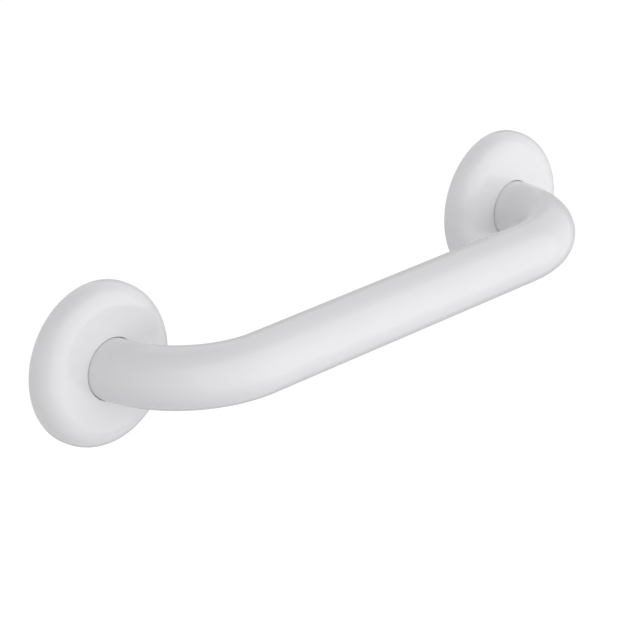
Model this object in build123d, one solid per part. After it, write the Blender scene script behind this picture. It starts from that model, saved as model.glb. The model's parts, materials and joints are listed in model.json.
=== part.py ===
from build123d import *

import math
import os

# Grab bar for a bathroom wall: a bent tube, a round plate welded to each of its ends,
# and a moulded cover that clips over each plate and hides its screws.
# The wall is the plane Y = 0, and the bar stands out from it along -Y.
# +X runs along the bar, +Z is up, and the origin lies on the wall, midway between the plates.
# All sizes are in millimetres and degrees.

# Bar
centre_distance = 300.0  # between the axes of the two legs
bend_radius = 52.0  # of the tube's centreline
tube_diameter = 32.0
tube_wall = 1.5
tube_setback = 0.5  # from the wall to the tube's ends, so that only the plates bear

# Mount plate, the same piece at both ends
plate_thickness = 3.0
plate_land = 1.0  # straight part of the plate's edge, in front of its bevel
weld_leg = 3.0  # of the bead between the tube and the plate's front
weld_crown = 0.3  # how far the bead swells past its straight face
screw_count = 3
screw_hole_diameter = 6.0
countersink_diameter = 10.0
countersink_angle = 90.0

# Cover, the same piece at both ends
cover_diameter = 85.0
cover_skirt = 3.5  # from the wall to where the rim starts to curve
cover_shoulder = 11.0  # radius between the rim and the flat face
cover_wall = 2.0
collar_wall = 1.5  # of the sleeve behind the cover's hole
collar_depth = 4.0  # from the flat face to the sleeve's end
hole_edge_break = 0.4  # small chamfer round the hole's front edge
rim_edge_break = 0.8  # small chamfer round the rim's outer edge
rib_thickness = 1.5
lug_tip = 0.6  # thickness of a clip lug at its tip
lug_arc = 24.0  # angle that a clip lug spans

# Clearances
tube_gap = 0.25  # between the tube and the cover's hole
plate_gap = 3.5  # between the plate's edge and the cover's inside
wall_gap = 0.3  # between the wall and the cover's rim
rib_gap = 1.0  # between the weld and the cover's ribs
lug_gap = 0.15  # between the plate's bevel and the cover's lugs

# Sizes that follow from the ones above
tube_radius = tube_diameter / 2
cover_radius = cover_diameter / 2
cover_height = cover_skirt + cover_shoulder
projection = cover_height + bend_radius  # the tube starts to bend at the cover's face
plate_radius = cover_radius - cover_wall - plate_gap
plate_bevel = plate_thickness - plate_land
weld_radius = tube_radius + weld_leg
screw_circle_radius = (weld_radius + plate_radius - plate_bevel) / 2  # midway between weld and bevel
hole_radius = tube_radius + tube_gap
screw_step = 360 / screw_count


def make_tube():
    """Round tube along a path of two legs and a grip, with a bend at each corner."""
    half = centre_distance / 2
    path = FilletPolyline(
        (-half, -tube_setback),
        (-half, -projection),
        (half, -projection),
        (half, -tube_setback),
        radius=bend_radius,
    )
    ring = Circle(tube_radius) - Circle(tube_radius - tube_wall)
    return sweep(Plane(origin=path @ 0, z_dir=path % 0) * ring, path)


def make_plate():
    """Bored disc with a bevelled back edge, a weld bead round the tube and countersunk screw holes."""
    weld_toe = (weld_radius, plate_thickness)
    weld_top = (tube_radius, plate_thickness + weld_leg)
    section = make_face(
        [
            Polyline(
                weld_top,
                (tube_radius, 0),
                (plate_radius - plate_bevel, 0),
                (plate_radius, plate_bevel),
                (plate_radius, plate_thickness),
                weld_toe,
            ),
            SagittaArc(weld_toe, weld_top, -weld_crown),
        ]
    )
    plate = revolve(Plane.XZ * section, Axis.Z)
    screw_hole = CounterSinkHole(
        screw_hole_diameter / 2, countersink_diameter / 2, plate_thickness, countersink_angle
    )
    for index in range(screw_count):
        plate -= Rot(0, 0, index * screw_step) * Pos(screw_circle_radius, 0, plate_thickness) * screw_hole
    return plate


def dome(inset):
    """Solid dome inside the cover's outer surface, at the given depth below it."""
    radius = cover_radius - inset
    top = cover_height - inset
    shoulder = cover_shoulder - inset
    rim = (radius, cover_skirt)
    crest = (radius - shoulder, top)
    section = make_face(
        [
            Polyline(crest, (0, top), (0, wall_gap), (radius, wall_gap), rim),
            TangentArc(rim, crest, tangent=(0, 1)),
        ]
    )
    return revolve(Plane.XZ * section, Axis.Z)


def make_rib():
    """Upright web along X, from beside the weld to past the rim, with its foot on the plate's front."""
    start = weld_radius + rib_gap
    return Pos(start, 0, plate_thickness) * Box(
        cover_radius - start, rib_thickness, cover_height, align=(Align.MIN, Align.CENTER, Align.MIN)
    )


def make_lug():
    """Wedge inside the rim, centred on X, whose upper face lies along the plate's bevel."""
    tip_height = wall_gap + lug_tip
    tip_radius = plate_radius - plate_bevel + tip_height + lug_gap * math.sqrt(2)
    section = make_face(
        Polyline(
            (tip_radius, wall_gap),
            (cover_radius, wall_gap),
            (cover_radius, tip_height + cover_radius - tip_radius),
            (tip_radius, tip_height),
            close=True,
        )
    )
    return Rot(0, 0, -lug_arc / 2) * revolve(Plane.XZ * section, Axis.Z, lug_arc)


def make_cover():
    """Moulded shell with a flat face, a sleeve round the tube, ribs that seat on the plate and clip lugs."""
    inner_side = Part()
    for index in range(screw_count):
        between_screws = (index + 0.5) * screw_step
        inner_side += Rot(0, 0, between_screws) * make_lug()
        for side in (-1, 1):
            inner_side += Rot(0, 0, between_screws + side * screw_step / 4) * make_rib()
    collar = Pos(0, 0, cover_height) * Cylinder(
        hole_radius + collar_wall, collar_depth, align=(Align.CENTER, Align.CENTER, Align.MAX)
    )
    cover = dome(0) - dome(cover_wall) + collar + (dome(cover_wall / 2) & inner_side)
    cover -= Cylinder(hole_radius, 2 * cover_height)
    hole_edge = cover.edges().filter_by(GeomType.CIRCLE).group_by(Axis.Z)[-1].sort_by(SortBy.RADIUS)[0]
    cover = chamfer(hole_edge, hole_edge_break)
    rim_edge = cover.edges().filter_by(GeomType.CIRCLE).group_by(Axis.Z)[0].sort_by(SortBy.RADIUS)[-1]
    return chamfer(rim_edge, rim_edge_break)


plate = make_plate()
cover = make_cover()
nodes = {"bar_tube": make_tube()}
for name, side in (("left", -1), ("right", 1)):
    # Each end's own frame has its Z along the leg, away from the wall, and its X away from the bar.
    end = Plane(origin=(side * centre_distance / 2, 0, 0), x_dir=(side, 0, 0), z_dir=(0, -1, 0))
    nodes[f"{name}_mount_plate"] = end * plate
    nodes[f"{name}_cover"] = end * cover

os.makedirs("parts", exist_ok=True)
for name, shape in nodes.items():
    export_step(shape, f"parts/{name}.step")
    print(f"{name}: {shape.volume:.0f} mm3")

print(f"wall to grip centre: {projection:.2f}, screw circle: {2 * screw_circle_radius:.2f}")
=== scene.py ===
# %% [markdown]
# A white grab bar for a bathroom wall: a bent steel tube, a round plate welded to each end, and a
# moulded cover that clips over each plate and hides its screws.
# The solids come from the imported model, which is the fixed frame for everything below. The wall is
# the plane Y = 0, the bar stands out from it along -Y, +X runs along the grip and +Z is up.
# Lengths are in metres.

import json
import math

import bmesh
import bpy
from mathutils import Matrix, Quaternion, Vector


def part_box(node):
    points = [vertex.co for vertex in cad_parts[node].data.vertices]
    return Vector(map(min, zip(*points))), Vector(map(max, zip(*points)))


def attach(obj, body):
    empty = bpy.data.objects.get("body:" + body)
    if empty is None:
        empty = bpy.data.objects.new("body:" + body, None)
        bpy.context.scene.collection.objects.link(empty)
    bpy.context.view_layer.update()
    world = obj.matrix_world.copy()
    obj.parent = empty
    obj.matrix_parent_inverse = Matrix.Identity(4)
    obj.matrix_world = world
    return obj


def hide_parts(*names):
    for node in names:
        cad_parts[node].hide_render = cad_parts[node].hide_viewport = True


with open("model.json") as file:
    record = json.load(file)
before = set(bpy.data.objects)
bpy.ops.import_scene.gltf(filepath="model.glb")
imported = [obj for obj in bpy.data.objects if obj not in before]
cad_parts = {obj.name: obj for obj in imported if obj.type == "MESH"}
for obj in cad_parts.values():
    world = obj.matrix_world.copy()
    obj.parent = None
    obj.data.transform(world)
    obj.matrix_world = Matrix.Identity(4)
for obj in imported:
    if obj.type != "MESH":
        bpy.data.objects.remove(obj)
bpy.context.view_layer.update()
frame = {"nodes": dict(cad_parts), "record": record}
print("solids:", ", ".join(sorted(frame["nodes"])))

# %% [markdown]
# The new meshes have to lie exactly where the solids are, so their main sizes are read from the
# solids' boxes instead of being typed in a second time. The tube gives its own radius and the line of
# its grip, a cover gives its radius, its face and its rim, and a plate gives its radius and the top of
# its weld. The bends start at the covers' faces, so the bend's radius follows from those.

# %% Measure the solids
mounts = {mount["name"]: mount for mount in frame["record"]["mounts"]}
leg_x = mounts["right_plate_screws"]["pos_m"][0]
tube_low, tube_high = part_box("bar_tube")
cover_low, cover_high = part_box("right_cover")
plate_low, plate_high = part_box("right_mount_plate")
tube_radius = tube_high.x - leg_x
tube_end_y = tube_high.y
grip_y = tube_low.y + tube_radius
cover_radius = cover_high.x - leg_x
cover_height = -cover_low.y
rim_height = -cover_high.y
bend_radius = -cover_height - grip_y
plate_radius = plate_high.x - leg_x
weld_height = -plate_low.y
print(f"tube radius {tube_radius:.4f}, grip at {grip_y:.4f}, bend radius {bend_radius:.4f}")
print(f"cover radius {cover_radius:.4f}, height {cover_height:.4f}, rim {rim_height:.4f} off the wall")
print(f"plate radius {plate_radius:.4f}, its weld reaches {weld_height:.4f} off the wall")

# %% [markdown]
# A finish is a small sum of patterns, so shader maths is written here as Python sums. A Value wraps
# the output of a node. Adding or multiplying two of them adds a Math node behind the scenes, and its
# node method makes every other kind of node. That keeps a material as short as its recipe.

# %% Shader sums


class Value:
    """An output socket of a shader. Sums and products of values add Math nodes to its tree."""

    def __init__(self, socket):
        self.socket = socket

    def node(self, kind, settings, inputs, output=0):
        """Adds a node to the tree: its settings first, then the values or links of its sockets."""
        tree = self.socket.id_data
        node = tree.nodes.new(kind)
        for name, setting in settings.items():
            setattr(node, name, setting)
        for name, value in inputs.items():
            if isinstance(value, Value):
                tree.links.new(value.socket, node.inputs[name])
            else:
                node.inputs[name].default_value = value
        return Value(node.outputs[output])

    def maths(self, operation, first, second):
        """Adds a Math node that works on two values or numbers."""
        return self.node("ShaderNodeMath", {"operation": operation}, {0: first, 1: second})

    def __add__(self, other):
        return self.maths("ADD", self, other)

    def __sub__(self, other):
        return self.maths("SUBTRACT", self, other)

    def __rsub__(self, other):
        return self.maths("SUBTRACT", other, self)

    def __mul__(self, other):
        return self.maths("MULTIPLY", self, other)

    __radd__ = __add__
    __rmul__ = __mul__


print("sums that a Value takes:", "+", "-", "*")

# %% [markdown]
# Every finish starts the same way: a Principled shader, and the Object coordinates, which are metres
# in the bar's own frame. Four patterns are used again and again: a noise of a stated grain in metres,
# a smooth step between two levels, a blend of two colours, and a bump whose depth is in metres too.

# %% Start a finish


def start_finish(name):
    """Makes a material and gives it, its shader and its Object coordinates."""
    material = bpy.data.materials.new(name)
    material.use_nodes = True
    nodes = material.node_tree.nodes
    place = Value(nodes.new("ShaderNodeTexCoord").outputs["Object"])
    return material, nodes["Principled BSDF"], place


def feed(shader, **values):
    """Links values to the shader's sockets."""
    for socket, value in values.items():
        shader.id_data.links.new(value.socket, shader.inputs[socket.replace("_", " ")])


def noise(place, grain, detail=2.0):
    """A noise about 0.5, whose lumps are about one grain wide."""
    return place.node("ShaderNodeTexNoise", {}, {"Vector": place, "Scale": 1 / grain, "Detail": detail})


def clear_step(value, low, high):
    """0 below the low value, 1 above the high one and smooth between."""
    return value.node(
        "ShaderNodeMapRange",
        {"interpolation_type": "SMOOTHSTEP"},
        {"Value": value, "From Min": low, "From Max": high},
    )


def blend(share, first, second):
    """A colour between two, the second where the share is 1."""
    return share.node("ShaderNodeMix", {"data_type": "RGBA"}, {0: share, 6: first, 7: second}, output=2)


def relief(height, depth):
    """A bump that is so many metres deep between a height of 0 and 1."""
    return height.node("ShaderNodeBump", {}, {"Height": height, "Distance": depth})


print("patterns: noise, clear_step, blend, relief")

# %% [markdown]
# The tube and the plates are powder coated. The powder is baked on in one thick skin, which flows out
# smooth but never dead flat: seen close, it has the low swells called orange peel, a millimetre or two
# wide and a few thousandths deep, and its white drifts very slightly where the skin is thicker.
# Noise gives both, at its own real grain, and the swells also turn the gloss up and down a little.

# %% Powder coat
drift_grain = 0.06
drift_dulls = 0.03  # roughness that a full drift adds
peel_grain = 0.0018
peel_depth = 0.00002
peel_dulls = 0.06  # roughness that a full swell adds
speck_grain = 0.0004
speck_share = 0.15  # of the peel's depth


def powder_coat(name, thick, thin, gloss_loss):
    """A white baked coat with orange peel. The two colours are its thick and thin stretches."""
    material, shader, place = start_finish(name)
    drift = noise(place, drift_grain)
    peel = noise(place, peel_grain, detail=1.0)
    speck = noise(place, speck_grain, detail=0.0)
    feed(
        shader,
        Base_Color=blend(clear_step(drift, low=0.3, high=0.7), thick, thin),
        Roughness=gloss_loss + peel_dulls * peel + drift_dulls * drift,
        Normal=relief(peel + speck_share * speck, peel_depth),
    )
    return material


bar_coat = powder_coat(
    "white_bar_coat", thick=(0.862, 0.862, 0.872, 1), thin=(0.847, 0.847, 0.857, 1), gloss_loss=0.105
)
plate_coat = powder_coat(
    "white_plate_coat", thick=(0.842, 0.842, 0.852, 1), thin=(0.822, 0.822, 0.832, 1), gloss_loss=0.3
)
print("coats:", bar_coat.name, plate_coat.name)

# %% [markdown]
# Inside, the tube is left as it was drawn: grey steel with fine lines along its length. Some powder
# blows in at its open ends before it is baked, so the first centimetre or two behind the wall is
# white and fades out unevenly. A noise stretched along Y gives the lines, and the depth from the
# tube's end, shaken by a coarser noise, gives the fade.

# %% Bare bore
line_grain = 0.0006
line_depth = 0.00001
line_squeeze = (1, 0.03, 1)  # of the place, which draws the noise out along Y
lines_dull = 0.1  # roughness that the lines add
stain_grain = 0.012
stain_shift = 0.014  # how far the stain moves the dusting's edge
dust_roughness = 0.5
steel_shine = 0.12  # roughness that bare steel lacks
dark_steel = (0.33, 0.325, 0.32, 1)
light_steel = (0.46, 0.455, 0.45, 1)


def bare_bore(name, coat, spray_reach, spray_fade):
    """Drawn steel with a dusting of the coat near the tube's ends."""
    material, shader, place = start_finish(name)
    stretched = place.node("ShaderNodeMapping", {}, {"Vector": place, "Scale": line_squeeze})
    lines = noise(stretched, line_grain)
    stain = noise(place, stain_grain)
    along = place.node("ShaderNodeSeparateXYZ", {}, {"Vector": place}, output=1)
    depth = tube_end_y - along + stain_shift * (stain - 0.5)
    bare = clear_step(depth, spray_reach, spray_reach + spray_fade)
    steel = blend(lines, dark_steel, light_steel)
    feed(
        shader,
        Base_Color=blend(bare, coat, steel),
        Metallic=bare,
        Roughness=dust_roughness - steel_shine * bare + lines_dull * lines,
        Normal=relief(lines, line_depth),
    )
    return material


bore_steel = bare_bore("bore_steel", coat=(0.83, 0.835, 0.845, 1), spray_reach=0.012, spray_fade=0.016)
print("bore:", bore_steel.name)

# %% [markdown]
# The covers are injection moulded in white plastic. The mould is polished where it shapes the face
# and left as it was eroded where it shapes the inside, so one moulding has two finishes: a smooth
# satin gloss outside, and a dull fine grain inside. The plastic is the same, so one function makes
# both, with another grain and another depth.

# %% Moulded plastic
flow_grain = 0.03
flow_dulls = 0.02  # roughness that a full streak adds
skin_dulls = 0.05  # roughness that the mould's skin adds


def moulded_plastic(name, colour, streak, gloss_loss, grain, depth):
    """White plastic with the skin that its mould leaves, and faint streaks where the melt has flowed."""
    material, shader, place = start_finish(name)
    skin = noise(place, grain, detail=1.0)
    flow = noise(place, flow_grain)
    feed(
        shader,
        Base_Color=blend(clear_step(flow, low=0.35, high=0.65), colour, streak),
        Roughness=gloss_loss + skin_dulls * skin + flow_dulls * flow,
        Normal=relief(skin, depth),
    )
    return material


cover_gloss = moulded_plastic(
    "cover_gloss",
    colour=(0.87, 0.87, 0.88, 1),
    streak=(0.86, 0.86, 0.871, 1),
    gloss_loss=0.075,
    grain=0.003,
    depth=0.000012,
)
cover_inside = moulded_plastic(
    "cover_inside",
    colour=(0.85, 0.85, 0.86, 1),
    streak=(0.835, 0.835, 0.846, 1),
    gloss_loss=0.5,
    grain=0.0005,
    depth=0.00003,
)
print("plastic:", cover_gloss.name, cover_inside.name)

# %% [markdown]
# A finished mesh becomes an object at the origin, because its place is in its vertices. It rides on
# the bar's one body, puts its finishes in its material slots and stands for its solid, which then
# isn't shown. Smooth shading hides the facets.

# %% Make a piece


def new_object(name, mesh, finishes):
    """Puts a bmesh into an object of its own, at the origin, with its finishes in their slots."""
    data = bpy.data.meshes.new(name)
    mesh.to_mesh(data)
    mesh.free()
    for finish in finishes:
        data.materials.append(finish)
    made = bpy.data.objects.new(name, data)
    bpy.context.scene.collection.objects.link(made)
    return made


def make_piece(name, mesh, finishes, solid):
    """Makes a piece out of a bmesh, which rides on the bar and stands for the named solid."""
    piece = new_object(name, mesh, finishes)
    piece.data.shade_smooth()
    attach(piece, "root")
    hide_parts(solid)
    print(f"{name}: {len(piece.data.polygons)} faces, stands for {solid}")
    return piece


# %% [markdown]
# The bar is one round tube, bent cold round a former at each corner. It can be a curve with a round
# bevel, but the mesh then carries no clean wall. Here a circle travels the tube's own way instead: it
# is extruded along the leg, spun a quarter turn about the former's axis and extruded to the middle.
# The other half is its mirror image, so the two halves match to the last facet.

# %% Bend the tube
ring_facets = 96
bend_steps = 36
run_step = 0.008
same_point = 1e-6
quarter_turn = math.radians(90)


def only(kind, geometry):
    """The items of one kind, such as the edges, out of what an operator gives back."""
    return [item for item in geometry if isinstance(item, kind)]


def run_on(mesh, ring, run):
    """Extrudes a ring of edges along a straight run in short steps and gives the last ring."""
    steps = math.ceil(run.length / run_step)
    for _ in range(steps):
        made = bmesh.ops.extrude_edge_only(mesh, edges=ring)["geom"]
        bmesh.ops.translate(mesh, verts=only(bmesh.types.BMVert, made), vec=run / steps)
        ring = [edge for edge in only(bmesh.types.BMEdge, made) if edge.is_boundary]
    return ring


def bend_on(mesh, ring, centre):
    """Spins a ring of edges a quarter turn about an upright axis and gives the last ring."""
    verts = list({vert for edge in ring for vert in edge.verts})
    made = bmesh.ops.spin(
        mesh, geom=verts + ring, cent=centre, axis=(0, 0, 1), angle=quarter_turn, steps=bend_steps
    )
    return only(bmesh.types.BMEdge, made["geom_last"])


def tube_skin():
    """The tube's outer skin, open at both ends."""
    mesh = bmesh.new()
    across_leg = Matrix.Translation((-leg_x, tube_end_y, 0)) @ Matrix.Rotation(quarter_turn, 4, "X")
    bmesh.ops.create_circle(mesh, segments=ring_facets, radius=tube_radius, matrix=across_leg)
    ring = run_on(mesh, mesh.edges[:], Vector((0, -cover_height - tube_end_y, 0)))
    ring = bend_on(mesh, ring, centre=(bend_radius - leg_x, -cover_height, 0))
    run_on(mesh, ring, Vector((leg_x - bend_radius, 0, 0)))
    half = mesh.verts[:] + mesh.edges[:] + mesh.faces[:]
    bmesh.ops.mirror(mesh, geom=half, axis="X", merge_dist=same_point)
    bmesh.ops.remove_doubles(mesh, verts=mesh.verts, dist=same_point)
    bmesh.ops.recalc_face_normals(mesh, faces=mesh.faces)
    return mesh


coated_tube = make_piece("coated_tube", tube_skin(), [bar_coat, bore_steel], "bar_tube")

# %% [markdown]
# The skin needs a wall. A Solidify modifier grows it inwards, so the outside stays where it was, and
# gives the new inner faces the next material, which is the bare steel. The saw leaves a sharp end
# that is then deburred, so a Bevel modifier rounds the four end edges, the only ones near 90 degrees.

# %% Wall of the tube
tube_wall = 0.0015
deburred = 0.0003
deburr_steps = 3
right_angle_limit = math.radians(60)

wall = coated_tube.modifiers.new("wall", "SOLIDIFY")
wall.thickness = tube_wall
wall.offset = -1
wall.use_even_offset = True
wall.material_offset = 1

ends = coated_tube.modifiers.new("deburred_ends", "BEVEL")
ends.width = deburred
ends.segments = deburr_steps
ends.limit_method = "ANGLE"
ends.angle_limit = right_angle_limit
print(f"wall {tube_wall:.4f}, ends rounded by {deburred:.4f}")

# %% [markdown]
# A cover is a body of revolution: a short skirt, a big round shoulder and a flat face with a hole for
# the tube, which a sleeve behind the face stiffens. So its section is drawn once as a closed outline
# of corners, beside the leg's axis, and each corner is rounded by a vertex bevel.

# %% Draw an outline
arc_step = 0.0007
fewest_arc_steps = 3


def draw_outline(mesh, corners):
    """Draws a closed outline in the XZ plane. A corner is its radius, its height and its rounding."""
    verts = [mesh.verts.new((radius, 0, height)) for radius, height, _ in corners]
    for start, end in zip(verts, verts[1:] + verts[:1]):
        mesh.edges.new((start, end))
    for vert, (_, _, rounding) in zip(verts, corners):
        if rounding:
            bmesh.ops.bevel(
                mesh,
                geom=[vert],
                offset=rounding,
                offset_type="OFFSET",
                segments=max(fewest_arc_steps, round(rounding / arc_step)),
                profile=0.5,
                affect="VERTICES",
                material=-1,
            )


print(f"outline arcs have an edge for each {arc_step:.4f} of radius, and at least {fewest_arc_steps}")

# %% [markdown]
# A full spin of the section makes the shell with its true wall. The sizes that no box can show, such
# as the wall, the shoulder, the sleeve and the small rounded edges, are named here. The polished side
# of the mould never met a face that looks at the wall or at the leg, so such faces get the dull finish.

# %% Spin the cover's shell
cover_wall = 0.002
shoulder = 0.011
tube_gap = 0.00025
hole_radius = tube_radius + tube_gap
collar_wall = 0.0015
collar_depth = 0.004
hole_edge = 0.0004
rim_edge = 0.0008
inner_edge = 0.0002
spin_steps = 180
outside, inside = 0, 1
facing_limit = 0.05


def faces_in(face):
    """Whether a face looks back at the wall or in at the leg."""
    centre = face.calc_center_median()
    away = Vector((centre.x, centre.y, 0)).normalized()
    return face.normal.z < facing_limit and face.normal.dot(away) < facing_limit


def cover_shell():
    """The moulded dome with its hole and sleeve, round the Z axis and with the wall at Z = 0."""
    mesh = bmesh.new()
    ceiling = cover_height - cover_wall
    collar_radius = hole_radius + collar_wall
    collar_end = cover_height - collar_depth
    draw_outline(
        mesh,
        [
            (cover_radius, rim_height, rim_edge),
            (cover_radius, cover_height, shoulder),
            (hole_radius, cover_height, hole_edge),
            (hole_radius, collar_end, inner_edge),
            (collar_radius, collar_end, inner_edge),
            (collar_radius, ceiling, inner_edge),
            (cover_radius - cover_wall, ceiling, shoulder - cover_wall),
            (cover_radius - cover_wall, rim_height, inner_edge),
        ],
    )
    section = mesh.verts[:] + mesh.edges[:]
    bmesh.ops.spin(
        mesh,
        geom=section,
        axis=(0, 0, 1),
        cent=(0, 0, 0),
        angle=math.tau,
        steps=spin_steps,
        use_merge=True,
    )
    bmesh.ops.remove_doubles(mesh, verts=mesh.verts, dist=same_point)
    bmesh.ops.recalc_face_normals(mesh, faces=mesh.faces)
    for face in mesh.faces:
        face.material_index = inside if faces_in(face) else outside
    return mesh


shell = cover_shell()
print(f"shell: {len(shell.faces)} faces, {shell.calc_volume() * 1e6:.2f} cm3")

# %% [markdown]
# Inside each cover, six thin ribs stand on the plate's front and three lugs catch its bevelled edge,
# which is how the cover sits firm and clips on. A rib is an outline with the shoulder's curve,
# extruded to its thickness. A lug is a wedge, spun through the angle that it spans. One of each is
# made and then copied round the axis, again with spin.

# %% Ribs and lugs
weld_leg = 0.003
weld_radius = tube_radius + weld_leg
plate_thickness = weld_height - weld_leg
plate_bevel = 0.002
rib_gap = 0.001
rib_thickness = 0.0015
lug_tip = 0.0006
lug_gap = 0.00015
lug_arc = math.radians(24)
lug_steps = 8
rib_count, first_rib = 6, math.radians(30)
lug_count, first_lug = 3, math.radians(60)
root_radius = cover_radius - cover_wall / 2


def copy_round(mesh, count, first_angle):
    """Turns what is in a mesh to its first angle and copies it evenly round the Z axis."""
    bmesh.ops.rotate(mesh, verts=mesh.verts, cent=(0, 0, 0), matrix=Matrix.Rotation(first_angle, 3, "Z"))
    bmesh.ops.spin(
        mesh,
        geom=mesh.verts[:] + mesh.edges[:] + mesh.faces[:],
        axis=(0, 0, 1),
        cent=(0, 0, 0),
        angle=math.tau * (count - 1) / count,
        steps=count - 1,
        use_duplicate=True,
    )


def cover_ribs():
    """Six webs between the sleeve and the rim, with their feet on the plate."""
    mesh = bmesh.new()
    rib_start = weld_radius + rib_gap
    rib_top = cover_height - cover_wall / 2
    draw_outline(
        mesh,
        [
            (rib_start, plate_thickness, 0),
            (root_radius, plate_thickness, 0),
            (root_radius, rib_top, shoulder - cover_wall / 2),
            (rib_start, rib_top, 0),
        ],
    )
    bmesh.ops.contextual_create(mesh, geom=mesh.edges[:])
    bmesh.ops.translate(mesh, verts=mesh.verts, vec=(0, -rib_thickness / 2, 0))
    made = bmesh.ops.extrude_face_region(mesh, geom=mesh.faces[:])["geom"]
    bmesh.ops.translate(mesh, verts=only(bmesh.types.BMVert, made), vec=(0, rib_thickness, 0))
    copy_round(mesh, rib_count, first_rib)
    return mesh


def cover_lugs():
    """Three wedges inside the rim, whose upper faces lie along the plate's bevel."""
    mesh = bmesh.new()
    tip_height = rim_height + lug_tip
    tip_radius = plate_radius - plate_bevel + tip_height + lug_gap * math.sqrt(2)
    draw_outline(
        mesh,
        [
            (tip_radius, rim_height, 0),
            (root_radius, rim_height, 0),
            (root_radius, tip_height + root_radius - tip_radius, 0),
            (tip_radius, tip_height, 0),
        ],
    )
    bmesh.ops.contextual_create(mesh, geom=mesh.edges[:])
    wedge = mesh.verts[:] + mesh.edges[:] + mesh.faces[:]
    bmesh.ops.spin(mesh, geom=wedge, axis=(0, 0, 1), cent=(0, 0, 0), angle=lug_arc, steps=lug_steps)
    copy_round(mesh, lug_count, first_lug - lug_arc / 2)
    return mesh


ribs, lugs = cover_ribs(), cover_lugs()
print(f"ribs: {len(ribs.faces)} faces, lugs: {len(lugs.faces)} faces")

# %% [markdown]
# The ribs and lugs run halfway into the shell's wall. A Boolean modifier joins them to it, so that one
# closed skin is left, as on the moulding. It leaves some needle-thin faces along the seams, which go
# when points that nearly meet are merged. The joined mesh is then set at each end of the bar: an end's
# own frame has its Z along the leg, away from the wall, and its X away from the bar. Last, a Weighted
# Normal modifier keeps the large flat face flat up to the small rounded edges beside it.

# %% Join the cover
cover_finishes = [cover_gloss, cover_inside]


def joined(body, *parts):
    """One closed mesh out of a body and the parts that run into it."""
    body_part = new_object("moulding", body, cover_finishes)
    tools = []
    for index, part in enumerate(parts):
        bmesh.ops.recalc_face_normals(part, faces=part.faces)
        for face in part.faces:
            face.material_index = inside
        tools.append(new_object(f"moulding_part_{index}", part, cover_finishes))
        join = body_part.modifiers.new("join", "BOOLEAN")
        join.operation = "UNION"
        join.solver = "EXACT"
        join.object = tools[-1]
    bpy.context.view_layer.update()
    whole = bmesh.new()
    whole.from_object(body_part, bpy.context.evaluated_depsgraph_get())
    bmesh.ops.remove_doubles(whole, verts=whole.verts, dist=same_point)
    bmesh.ops.dissolve_degenerate(whole, edges=whole.edges, dist=same_point)
    for part in [body_part, *tools]:
        bpy.data.objects.remove(part)
    return whole


def end_frame(side):
    """The frame of the left end, at side -1, or of the right end, at side 1."""
    columns = Matrix(((side, 0, 0), (0, 0, -1), (0, side, 0))).to_4x4()
    return Matrix.Translation((side * leg_x, 0, 0)) @ columns


moulding = joined(shell, ribs, lugs)
print(f"moulding: {len(moulding.faces)} faces, {moulding.calc_volume() * 1e6:.2f} cm3")
for name, side in (("left", -1), ("right", 1)):
    cover = moulding.copy()
    bmesh.ops.transform(cover, matrix=end_frame(side), verts=cover.verts)
    piece = make_piece(f"{name}_moulded_cover", cover, cover_finishes, f"{name}_cover")
    piece.modifiers.new("flat_faces", "WEIGHTED_NORMAL")
moulding.free()

# %% [markdown]
# The plates are plain turned discs with countersunk holes, and their solids already have that shape.
# So they stay as they are and only take the coat on.

# %% Coat the plates
for name in ("left_mount_plate", "right_mount_plate"):
    frame["nodes"][name].material_slots[0].material = plate_coat
    print(name, "has", plate_coat.name)

# %% [markdown]
# The bar hangs at hand height, so the floor is over a metre below it. It is pale and matt. A plain
# white ground is wanted behind the bar, and more light would only wash the bar out. So the floor and
# the walls look white to the camera and in reflections, by way of the Light Path node, and light the
# bar at their own lower level. A part of the floor's own shading stays, and with it the shadow.

# %% Floor
floor_drop = 1.15
floor_side = 14.0


def seen_directly(tree):
    """1 for rays from the camera, off gloss or through glass, and 0 for light that falls on things."""
    rays = tree.nodes.new("ShaderNodeLightPath")
    camera, glossy, through = (
        Value(rays.outputs[name]) for name in ("Is Camera Ray", "Is Glossy Ray", "Is Transmission Ray")
    )
    return camera.maths("MAXIMUM", camera.maths("MAXIMUM", camera, glossy), through)


def on_stage(name, mesh, finish):
    """Makes an object out of a bmesh that belongs to the stage and not to the bar."""
    item = new_object(name, mesh, [finish])
    return item


def floor_finish(albedo, glow, glow_share):
    """A matt floor that looks white where it is seen and keeps a share of its own shading."""
    material = bpy.data.materials.new("pale_floor")
    material.use_nodes = True
    tree = material.node_tree
    seen = seen_directly(tree)
    matt = seen.node("ShaderNodeBsdfDiffuse", {}, {"Color": albedo})
    white = seen.node("ShaderNodeEmission", {}, {"Strength": glow})
    surface = seen.node("ShaderNodeMixShader", {}, {0: glow_share * seen, 1: matt, 2: white})
    tree.links.new(surface.socket, tree.nodes["Material Output"].inputs["Surface"])
    return material


floor_grid = bmesh.new()
floor_place = Matrix.Translation((0, 0, -floor_drop))
bmesh.ops.create_grid(floor_grid, x_segments=1, y_segments=1, size=floor_side / 2, matrix=floor_place)
pale_floor = floor_finish(albedo=(0.7, 0.7, 0.7, 1), glow=1.19, glow_share=0.8)
floor = on_stage("floor", floor_grid, pale_floor)
print(f"{floor.name}: {floor_drop} below the bar")

# %% [markdown]
# The studio has pale walls all round and a dim ceiling. Without the ceiling every edge that looks up
# would catch as much light as the face, and the round forms would go flat. In a world's shader the
# Generated coordinate is the way that a ray goes, so its Z part tells the walls from the ceiling.

# %% Walls and ceiling
wall_level = 0.661
ceiling_seen = 0.58
ceiling_starts, ceiling_full = 0.75, 0.95
wall_colour = (0.998, 0.998, 1, 1)


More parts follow.
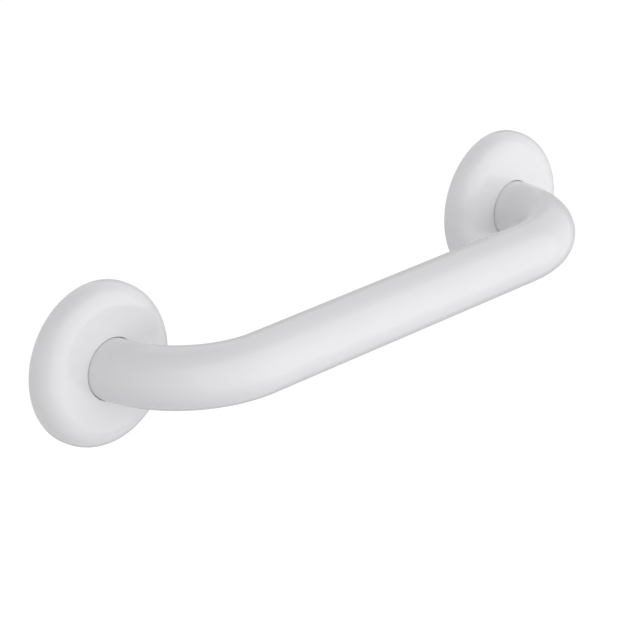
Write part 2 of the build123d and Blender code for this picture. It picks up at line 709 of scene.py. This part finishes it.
def studio_world():
    """Walls that look white and light the bar at their own level, below a ceiling that gives no light."""
    world = bpy.data.worlds.new("studio")
    world.use_nodes = True
    tree = world.node_tree
    way = Value(tree.nodes.new("ShaderNodeTexCoord").outputs["Generated"])
    up = way.node("ShaderNodeSeparateXYZ", {}, {"Vector": way}, output=2)
    ceiling = clear_step(up, ceiling_starts, ceiling_full)
    seen = seen_directly(tree)
    looks = 1 - (1 - ceiling_seen) * ceiling
    lights = wall_level - wall_level * ceiling
    background = tree.nodes["Background"]
    background.inputs["Color"].default_value = wall_colour
    tree.links.new((seen * looks + (1 - seen) * lights).socket, background.inputs["Strength"])
    return world


bpy.context.scene.world = studio_world()
print(f"walls light the bar at {wall_level}, and the ceiling looks {ceiling_seen} bright")

# %% [markdown]
# One large softbox in front gives the bar its form: a broad soft band along the grip, and edges that
# fall off to grey. A weak one behind lifts the bar's far side. A softbox is placed by its direction
# from the bar, and its strength is a radiance, where 1 is white, so the power follows from its size.

# %% Softboxes
lamp_colour = (0.98, 0.98, 1)


def direction(azimuth, elevation):
    """The way from the bar to a place so many degrees right of front and above level."""
    turn, rise = math.radians(azimuth), math.radians(elevation)
    return Vector((math.sin(turn) * math.cos(rise), -math.cos(turn) * math.cos(rise), math.sin(rise)))


def softbox(name, away, distance, width, height, radiance):
    """A rectangular area lamp, slightly blue, that faces the bar."""
    data = bpy.data.lights.new(name, "AREA")
    data.shape = "RECTANGLE"
    data.size = width
    data.size_y = height
    data.energy = radiance * math.pi * width * height
    data.color = lamp_colour
    lamp = bpy.data.objects.new(name, data)
    lamp.location = away * distance
    lamp.rotation_mode = "QUATERNION"
    lamp.rotation_quaternion = away.to_track_quat("Z", "Y")
    lamp.visible_camera = False
    bpy.context.scene.collection.objects.link(lamp)
    return lamp


front_box = softbox("front_box", direction(10, 11), distance=1.4, width=3.8, height=3.6, radiance=0.601)
back_box = softbox("back_box", direction(180, 25), distance=1.8, width=6.5, height=3.0, radiance=0.148)
print(f"{front_box.name}: {front_box.data.energy:.1f} W, {back_box.name}: {back_box.data.energy:.1f} W")

# %% [markdown]
# The camera stands well back, to the left of the bar and above it, with a long lens, and is tipped a
# little to one side, as a hand-held camera is. Its place is given round the point that it looks at.

# %% Camera
view_target = Vector((-0.01903, -0.02779, -0.01144))
to_camera = direction(-44.485, 21.512)
view_distance = 1.4556
view_roll = math.radians(-2.6)
lens = 157.17
film_width = 36

camera_data = bpy.data.cameras.new("camera")
camera_data.sensor_width = film_width
camera_data.lens = lens
camera = bpy.data.objects.new("camera", camera_data)
camera.location = view_target + to_camera * view_distance
camera.rotation_mode = "QUATERNION"
camera.rotation_quaternion = (-to_camera).to_track_quat("-Z", "Y") @ Quaternion((0, 0, 1), view_roll)
bpy.context.scene.collection.objects.link(camera)
bpy.context.scene.camera = camera
bpy.context.scene.view_settings.view_transform = "Standard"
print("camera at", [round(value, 3) for value in camera.location])

# %% [markdown]
# A glossy edge mirrors what lies behind it, so against a white ground it would fade into the white.
# As in a photo studio, a dark net hangs there and holds a part of that white back: behind the bar,
# straight across from the camera and hidden from it. It is a disc of cloth whose holes let the rest
# of the light through. It thins out towards its rim, so that no reflection shows where it ends.

# %% Dark net
net_distance = 0.7
net_radius = 0.75
net_facets = 64
net_share = 0.45
net_colour = (0.02, 0.02, 0.02, 1)
thins_from = 0.6


def net_finish():
    """Dark cloth with holes, which thins out towards the net's rim."""
    material = bpy.data.materials.new("dark_net")
    material.use_nodes = True
    tree = material.node_tree
    place = Value(tree.nodes.new("ShaderNodeTexCoord").outputs["Object"])
    radius = place.node("ShaderNodeVectorMath", {"operation": "LENGTH"}, {0: place}, output=1)
    share = net_share - net_share * clear_step(radius, thins_from, net_radius)
    holes = share.node("ShaderNodeBsdfTransparent", {}, {})
    cloth = share.node("ShaderNodeBsdfDiffuse", {}, {"Color": net_colour})
    surface = share.node("ShaderNodeMixShader", {}, {0: share, 1: holes, 2: cloth})
    tree.links.new(surface.socket, tree.nodes["Material Output"].inputs["Surface"])
    return material


net_disc = bmesh.new()
bmesh.ops.create_circle(net_disc, cap_ends=True, segments=net_facets, radius=net_radius)
net = on_stage("dark_net", net_disc, net_finish())
net.location = view_target - to_camera * net_distance
net.rotation_mode = "QUATERNION"
net.rotation_quaternion = to_camera.to_track_quat("Z", "Y")
net.visible_camera = False
print(f"{net.name}: {net_radius} in radius, holds back {net_share} of the light at its middle")

# %% [markdown]
# The last cell brings the scene up to date. What is shown should keep the solids' box, because every
# new mesh follows its solid.

# %% Bring the scene up to date
bpy.context.view_layer.update()
